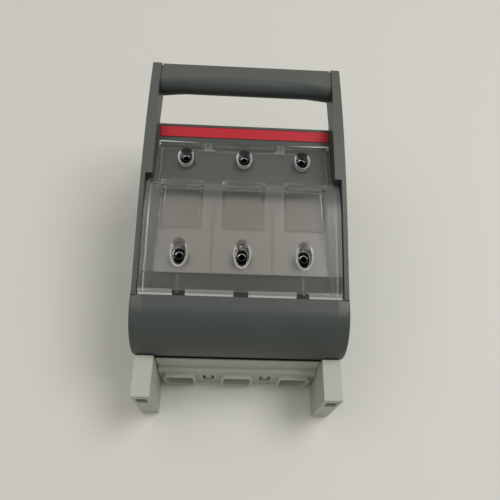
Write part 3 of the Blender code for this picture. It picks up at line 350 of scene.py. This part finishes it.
# A near black tint for the upper holes past their rims: painted shade.
holeBlackShadeLook = {"colour": (0.08, 0.08, 0.08), "smoke": (0.05, 0.05, 0.05), "haze": 0.0, "roughness": 0.30,
             "cloudScale": 60.0, "shadow": (0.60, 0.60, 0.58), "gloss": 0.0}
redStrip = redFilm()
clearSmoke = clearPlastic("clearSmoke", smokeLook)
paintedHighlight = clearPlastic("paintedHighlight", highlightLook)
dimFrost = clearPlastic("dimFrost", dimHighlightLook)
edgePaintedHighlight = clearPlastic("edgePaintedHighlight", edgeLook)
deepSmoke = clearPlastic("deepSmoke", holeShadeLook)
clearMatt = clearPlastic("clearMatt", mattLook)
blackSmoke = clearPlastic("blackSmoke", holeBlackShadeLook)
print("scene: finishes made")

# The clear cover's material slots, in the order in which dressCover fills them.
coverSlots = {"smoke": 0, "highlight": 1, "dimHighlight": 2, "deep": 3, "matt": 4, "black": 5, "edge": 6}

# Each kind of piece: its finish and the width of its moulded edge, in metres.
finishes = {
    "base_housing": (lightPlastic, 0.40 * mm), "lower_terminal_cover": (lightPlastic, 0.70 * mm),
    "upper_terminal_cover": (lightPlastic, 0.35 * mm), "contact_shroud": (lightPlastic, 0.30 * mm),
    "contact_lower": (tinnedCopper, 0.20 * mm), "contact_upper": (tinnedCopper, 0.20 * mm),
    "jaw_spring": (zincSteel, 0.15 * mm), "terminal_bolt": (zincSteel, 0.25 * mm),
    "terminal_nut": (zincSteel, 0.25 * mm), "hinge_pin": (zincSteel, 0.25 * mm),
    "probe_tube": (shadedSteel, 0.08 * mm), "handle_frame": (darkPlastic, 0.40 * mm),
    "fuse_carrier": (carrierPlastic, 0.25 * mm), "label_strip": (redStrip, 0.08 * mm),
    "clear_cover": (clearSmoke, 0.22 * mm)}


def finishFor(name):
    return next(finish for stem, finish in finishes.items() if name.startswith(stem))


# A copy of a CAD node with its loose triangles joined into faces again, and split at its extra edges. Faces
# with many corners are cut into triangles, because the rounding of edges can fill a large one wrongly.
def mergedCopy(name, node):
    values = {"join": 0.004 * mm, "flat": math.radians(0.5), "onPlane": 0.001 * mm, "corners": 4}
    mesh = node.data.copy()
    mesh.name = name
    work = bmesh.new()
    work.from_mesh(mesh)
    bmesh.ops.remove_doubles(work, verts=work.verts, dist=values["join"])
    bmesh.ops.dissolve_degenerate(work, dist=values["join"], edges=work.edges)
    bmesh.ops.dissolve_limit(work, angle_limit=values["flat"], verts=work.verts, edges=work.edges)
    for level in extraEdges.get(node.name, ()):
        parts = list(work.verts) + list(work.edges) + list(work.faces)
        bmesh.ops.bisect_plane(work, geom=parts, dist=values["onPlane"], plane_co=(0.0, level, 0.0),
                               plane_no=(0.0, 1.0, 0.0))
    large = [face for face in work.faces if len(face.verts) > values["corners"]]
    bmesh.ops.triangulate(work, faces=large, quad_method="BEAUTY", ngon_method="BEAUTY")
    work.to_mesh(mesh)
    work.free()
    mesh.shade_smooth()
    if mesh.attributes.get("custom_normal"):
        mesh.attributes.remove(mesh.attributes["custom_normal"])
    return addObject(name, mesh)


# A softened copy of a CAD node: every edge sharper than the limit is rounded, and normals are weighted by
# face area so that flats stay flat. The clear cover's rounded edges are matt.
def softened(node):
    values = {"segments": 2, "edgeLimit": math.radians(32.0), "flatShare": 60}
    material, width = finishFor(node.name)
    piece = mergedCopy("soft_" + node.name, node)
    setMaterial(piece, material)
    bevel = piece.modifiers.new("edge", "BEVEL")
    bevel.width = width
    bevel.segments = values["segments"]
    bevel.limit_method = "ANGLE"
    bevel.angle_limit = values["edgeLimit"]
    bevel.miter_outer = "MITER_ARC"
    if node.name == "clear_cover":
        bevel.material = coverSlots["matt"]
    normals = piece.modifiers.new("flats", "WEIGHTED_NORMAL")
    normals.mode = "FACE_AREA"
    normals.weight = values["flatShare"]
    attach(piece, node["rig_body"])
    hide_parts(node.name)
    return piece


softPieces = {name: softened(node) for name, node in frame["nodes"].items()}
print("scene: softened pieces made", len(softPieces))


# The clear cover's face is matt on its slope round the windows, and clear in the panes and beyond the crest.
# A milky white, painted highlight, goes on the near half of each flared rim, the far border, the latches'
# slits and the bevel along the near edge. A face belongs to a hole when r < reach, with
# r = sqrt(((x - xh) / a)^2 + ((y - yh) / b)^2) and (a, b) the half sizes of the hole. Past the rim the
# plastic gets a dark tint, painted shade, and a nearly black one in the upper row.
def dressCover(piece):
    values = {"halfX": (4.5 * mm, 4.3 * mm), "halfY": (7.4 * mm, 5.6 * mm), "shift": (0.5 * mm, 1.3 * mm),
              "reach": 1.3, "rim": 0.80, "nearShare": 0.45, "holeLean": (-0.2, 0.965),
              "bevelLength": 2.9 * mm, "bevelLean": -0.35, "level": 0.9, "raised": 0.3,
              "latchX": 18.6 * mm, "latchHalf": 3.2 * mm, "latchLength": 7.2 * mm, "barStart": 5.7 * mm,
              "barEnd": 6.7 * mm}
    mesh = piece.data
    for material in (paintedHighlight, dimFrost, deepSmoke, clearMatt, blackSmoke, edgePaintedHighlight):
        mesh.materials.append(material)
    highlight, dimHighlight, deep, matt, black, edge = (
        coverSlots[label] for label in ("highlight", "dimHighlight", "deep", "matt", "black", "edge"))
    count = len(mesh.polygons)
    centre = np.empty(count * 3)
    normal = np.empty(count * 3)
    mesh.polygons.foreach_get("center", centre)
    mesh.polygons.foreach_get("normal", normal)
    centre = centre.reshape(-1, 3)
    normal = normal.reshape(-1, 3)
    slots = np.zeros(count, np.int32)
    up = normal[:, 2]
    pane = np.zeros(count, bool)
    for x, _ in tubePlaces:
        pane |= np.abs(centre[:, 0] - x) < coverPlan["paneHalf"]
    pane &= (centre[:, 1] > paneNear) & (centre[:, 1] < paneFar)
    slope = (up > values["level"]) & (centre[:, 1] < paneFar) & (centre[:, 1] > bandEnd)
    slots[slope & ~pane] = matt
    for place, (x, y) in enumerate(tubePlaces):
        row = place // len(poles)
        along = (centre[:, 1] - y + values["shift"][row]) / values["halfY"][row]
        reach = np.sqrt(((centre[:, 0] - x) / values["halfX"][row]) ** 2 + along ** 2)
        inside = (reach < values["reach"]) & (up > values["holeLean"][0]) & (up < values["holeLean"][1])
        rim = inside & (reach > values["rim"]) & (along < values["nearShare"])
        slots[inside] = deep if row == 0 else black
        slots[rim] = dimHighlight if row == 0 else highlight
    slots[(centre[:, 1] > farLine) & (up > values["raised"])] = highlight
    latch = (np.abs(np.abs(centre[:, 0]) - values["latchX"]) < values["latchHalf"]) & (
        centre[:, 1] > coverHigh.y - values["latchLength"])
    slots[latch & (up < values["level"]) & (up > -values["raised"])] = highlight
    latchBar = latch & (centre[:, 1] < coverHigh.y - values["barStart"]) & (up > values["level"])
    slots[latchBar & (centre[:, 1] > coverHigh.y - values["barEnd"])] = matt
    nearEdge = (centre[:, 1] < coverLow.y + values["bevelLength"]) & (normal[:, 1] < values["bevelLean"])
    nearEdge &= up > values["raised"]
    slots[nearEdge] = edge
    slots[nearEdge & (centre[:, 1] < nearLine)] = highlight
    mesh.polygons.foreach_set("material_index", slots)
    mesh.update()


dressCover(softPieces["clear_cover"])


# No light reaches the wells round the probe tubes, so their walls and floors get a near black colour: painted
# shade.
def darkenWells(piece):
    values = {"reach": 5.2 * mm, "drop": 9.0 * mm}
    mesh = piece.data
    mesh.materials.append(paintedShadeWell)
    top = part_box("fuse_carrier_2")[1].z
    for face in mesh.polygons:
        near = min(math.hypot(face.center.x - x, face.center.y - y) for x, y in tubePlaces)
        if near < values["reach"] and face.center.z > top - values["drop"]:
            face.material_index = 1


for number in poles:
    darkenWells(softPieces[f"fuse_carrier_{number}"])


# The deck under the cover gets the dark plastic without its painted top sheen. Its near end, in the dark
# behind the band of clear plastic, and the ledges at its sides get a darker copy of the plastic: painted
# shade.
def darkenDeck(piece):
    values = {"nearDrop": 18.0 * mm, "nearReach": 9.0 * mm, "deckDrop": 5.0 * mm, "ledgeWidth": 6.0 * mm,
              "level": 0.9}
    mesh = piece.data
    mesh.materials.append(paintedShadeDeck)
    mesh.materials.append(cleanPlastic)
    for face in mesh.polygons:
        x, y, z = face.center
        covered = coverLow.x < x < coverHigh.x and coverLow.y < y < coverHigh.y
        if face.normal.z < values["level"] or not covered:
            continue
        near = z < coverHigh.z - values["nearDrop"] and y < bandEnd + values["nearReach"]
        ledge = abs(x) > coverHigh.x - values["ledgeWidth"] and y < paneFar
        if near or z < coverHigh.z - values["deckDrop"]:
            face.material_index = 1 if near or ledge else 2


darkenDeck(softPieces["handle_frame"])


# A closed band of four sided faces over points that run round a ring and round its section.
def ringMesh(name, points, around, across):
    i, j = np.meshgrid(np.arange(around), np.arange(across), indexing="ij")
    ahead, beside = (i + 1) % around, (j + 1) % across
    faces = np.stack([i * across + j, ahead * across + j, ahead * across + beside, i * across + beside],
                     axis=-1)
    mesh = bpy.data.meshes.new(name)
    mesh.from_pydata(points.tolist(), [], faces.reshape(-1, 4).tolist())
    work = bmesh.new()
    work.from_mesh(mesh)
    bmesh.ops.recalc_face_normals(work, faces=work.faces)
    work.to_mesh(mesh)
    work.free()
    mesh.shade_smooth()
    return mesh


# The lip of a probe tube: a ring of radius R and thickness t on the tube's end, with points
# ((R + t cos v) cos u, (R + t cos v) sin u, t sin v). Its far half has the bright zinc finish, the rest a
# dark steel that is painted shade.
def makeLip(name, tubeName):
    values = {"wall": 0.30 * mm, "around": 40, "across": 10, "brightFrom": 0.2}
    low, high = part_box(tubeName)
    middle = (low + high) / 2
    thick = values["wall"]
    radius = (high.x - low.x) / 2 - thick
    u = np.linspace(0, 2 * np.pi, values["around"], endpoint=False)[:, None]
    v = np.linspace(0, 2 * np.pi, values["across"], endpoint=False)[None, :]
    x = middle.x + (radius + thick * np.cos(v)) * np.cos(u)
    y = middle.y + (radius + thick * np.cos(v)) * np.sin(u)
    z = high.z - thick + thick * np.sin(v) + 0 * u  # 0 * u spreads the row over the grid
    points = np.stack([x, y, z], axis=-1).reshape(-1, 3)
    mesh = ringMesh(name, points, values["around"], values["across"])
    lip = addObject(name, mesh)
    setMaterial(lip, zincSteel)
    mesh.materials.append(shadedSteel)
    for face in mesh.polygons:
        face.material_index = 0 if face.center.y > middle.y + values["brightFrom"] * radius else 1
    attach(lip, handleBody)


for row in rows:
    for number in poles:
        makeLip(f"tubeLip_{row}_{number}", f"probe_tube_{row}_{number}")
print("scene: cover dressed")


# The rounded lip of a cable outlet: a bead of radius t carried round a rounded rectangle. At a corner with
# centre (xc, zc) and radius R its points are
# (xc + (R + t cos v) cos u, y + t sin v, zc + (R + t cos v) sin u),
# and the quarter turns of u at the four corners are joined by straight runs.
def makeOutletLip(name, x, front, inward):
    values = {"bead": 1.0 * mm, "corner": 3.0 * mm, "halfWide": 6.85 * mm, "low": 4.0 * mm, "high": 17.4 * mm,
              "margin": 1.25 * mm, "perCorner": 8, "across": 14}
    reachX = values["halfWide"] + values["margin"] - values["corner"]
    lowZ = values["low"] - values["margin"] + values["corner"]
    highZ = values["high"] + values["margin"] - values["corner"]
    turn = np.linspace(0, np.pi / 2, values["perCorner"])
    u = np.concatenate([turn + quarter * np.pi / 2 for quarter in range(4)])[:, None]
    xc = np.repeat([x + reachX, x - reachX, x - reachX, x + reachX], values["perCorner"])[:, None]
    zc = np.repeat([highZ, highZ, lowZ, lowZ], values["perCorner"])[:, None]
    v = np.linspace(0, 2 * np.pi, values["across"], endpoint=False)[None, :]
    wide = values["corner"] + values["bead"] * np.cos(v)
    y = front + inward * values["bead"] + values["bead"] * np.sin(v) + 0 * u
    points = np.stack([xc + wide * np.cos(u), y, zc + wide * np.sin(u)], axis=-1).reshape(-1, 3)
    lip = addObject(name, ringMesh(name, points, len(u), values["across"]))
    setMaterial(lip, lightPlastic)
    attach(lip, baseBody)


for number in poles:
    poleX = tubePlaces[number - 1][0]
    makeOutletLip(f"outletLip_lower_{number}", poleX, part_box("lower_terminal_cover")[0].y, 1)
    makeOutletLip(f"outletLip_upper_{number}", poleX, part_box("upper_terminal_cover")[1].y, -1)
print("scene: outlet lips made")


# A plain pale table: one square whose corners are (h, h, 0) with either sign of h.
def makeFloor():
    values = {"half": 3.0, "colour": (0.660, 0.650, 0.592), "roughness": 0.6}
    corners = np.array([(-1, -1, 0), (1, -1, 0), (1, 1, 0), (-1, 1, 0)], dtype=float) * values["half"]
    mesh = bpy.data.meshes.new("floor")
    mesh.from_pydata([tuple(c) for c in corners], [], [(0, 1, 2, 3)])
    floor = addObject("floor", mesh)
    material = bpy.data.materials.new("paleTable")
    material.use_nodes = True
    shader = material.node_tree.nodes["Principled BSDF"]
    shader.inputs["Base Color"].default_value = (*values["colour"], 1)
    shader.inputs["Roughness"].default_value = values["roughness"]
    setMaterial(floor, material)


# A round soft lamp that faces the point it aims at.
def areaLamp(name, values):
    data = bpy.data.lights.new(name, "AREA")
    data.shape = "DISK"
    data.size = values["size"]
    data.energy = values["energy"]
    lamp = addObject(name, data)
    lamp.location = values["place"]
    aim = Vector(values["aim"]) - lamp.location
    lamp.rotation_euler = aim.to_track_quat("-Z", "Y").to_euler()


# A pale even sky, a key lamp on the right and a wider fill lamp on the left.
def makeLight():
    values = {"worldColour": (1.0, 0.99, 0.97), "worldStrength": 0.40}
    keyLamp = {"size": 0.8, "energy": 11.0, "place": (0.72, 0.22, 1.36), "aim": (0.0, 0.0, 0.04)}
    fillLamp = {"size": 1.2, "energy": 4.2, "place": (-0.75, 0.15, 1.30), "aim": (0.0, 0.0, 0.04)}
    world = bpy.data.worlds.new("studio")
    world.use_nodes = True
    back = world.node_tree.nodes["Background"]
    back.inputs["Color"].default_value = (*values["worldColour"], 1)
    back.inputs["Strength"].default_value = values["worldStrength"]
    bpy.context.scene.world = world
    areaLamp("keyLamp", keyLamp)
    areaLamp("fillLamp", fillLamp)


# The camera looks from its place at the target and is then turned by the roll, in degrees.
def makeCamera():
    values = {"place": (-0.00570, -0.13819, 0.29117), "target": (0.00505, -0.00773, 0.045),
              "roll": 6.08, "lens": 36.0, "sensor": 36.0, "nearClip": 0.01}
    data = bpy.data.cameras.new("camera")
    data.lens = values["lens"]
    data.sensor_width = values["sensor"]
    data.clip_start = values["nearClip"]
    camera = addObject("camera", data)
    camera.location = values["place"]
    gaze = Vector(values["target"]) - camera.location
    level = gaze.to_track_quat("-Z", "Y")
    camera.rotation_euler = (level @ Quaternion((0, 0, 1), math.radians(values["roll"]))).to_euler()
    bpy.context.scene.camera = camera


makeFloor()
makeLight()
makeCamera()
bpy.context.scene.view_settings.view_transform = "Standard"
print("scene: floor, light and camera set")
